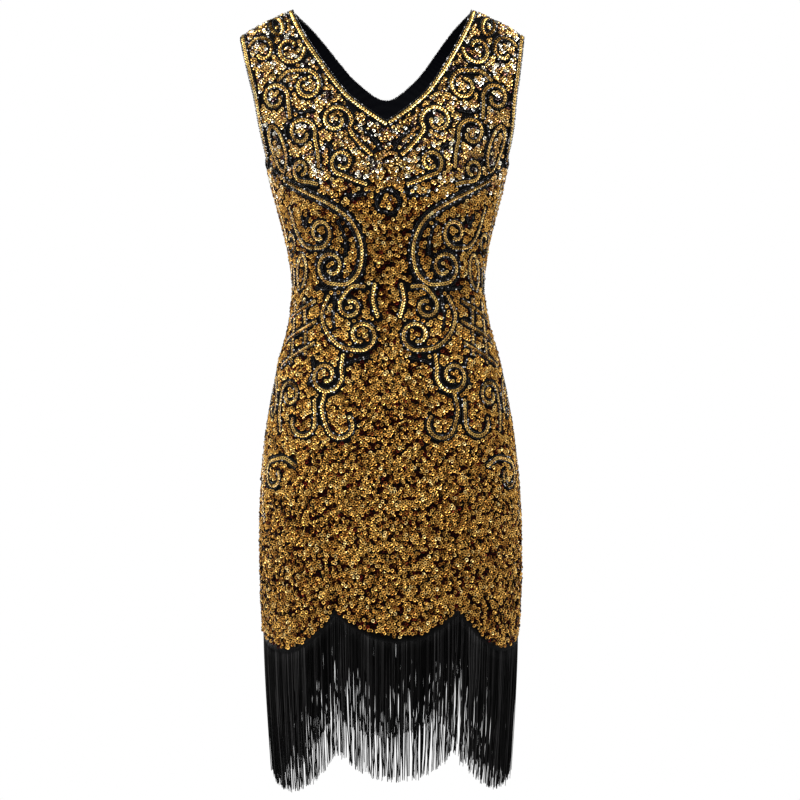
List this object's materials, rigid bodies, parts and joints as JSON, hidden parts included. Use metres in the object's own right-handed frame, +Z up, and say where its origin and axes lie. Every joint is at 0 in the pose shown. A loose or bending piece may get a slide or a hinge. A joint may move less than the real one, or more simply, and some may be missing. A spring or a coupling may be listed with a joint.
{
  "type": "flapper dress",
  "caption": "Sleeveless sequinned flapper dress with a V neck, scalloped hem and long fringe, filled out as if worn and held at the shoulders.",
  "frame": {"origin": "midway between the two shoulder seams, level with their neck ends", "axes": "+Z up, +X to the wearer's left, the front faces -Y"},
  "size_m": [0.3656, 0.2318, 0.9745],
  "materials": {
    "sequin_cloth": "gold sequins on black mesh",
    "sequin_row": "rows of gold sequins and black beads",
    "lining": "matt black jersey",
    "fringe": "black rayon strands"
  },
  "bodies": {
    "root": {"front_panel": "sequin_cloth", "back_panel": "sequin_cloth", "back_lining": "lining", "neck_trim_front": "sequin_row", "neck_trim_back": "sequin_row", "armhole_trim_left": "sequin_row", "armhole_trim_right": "sequin_row", "fringe_front": "fringe", "fringe_back": "fringe"}
  },
  "joints": []
}
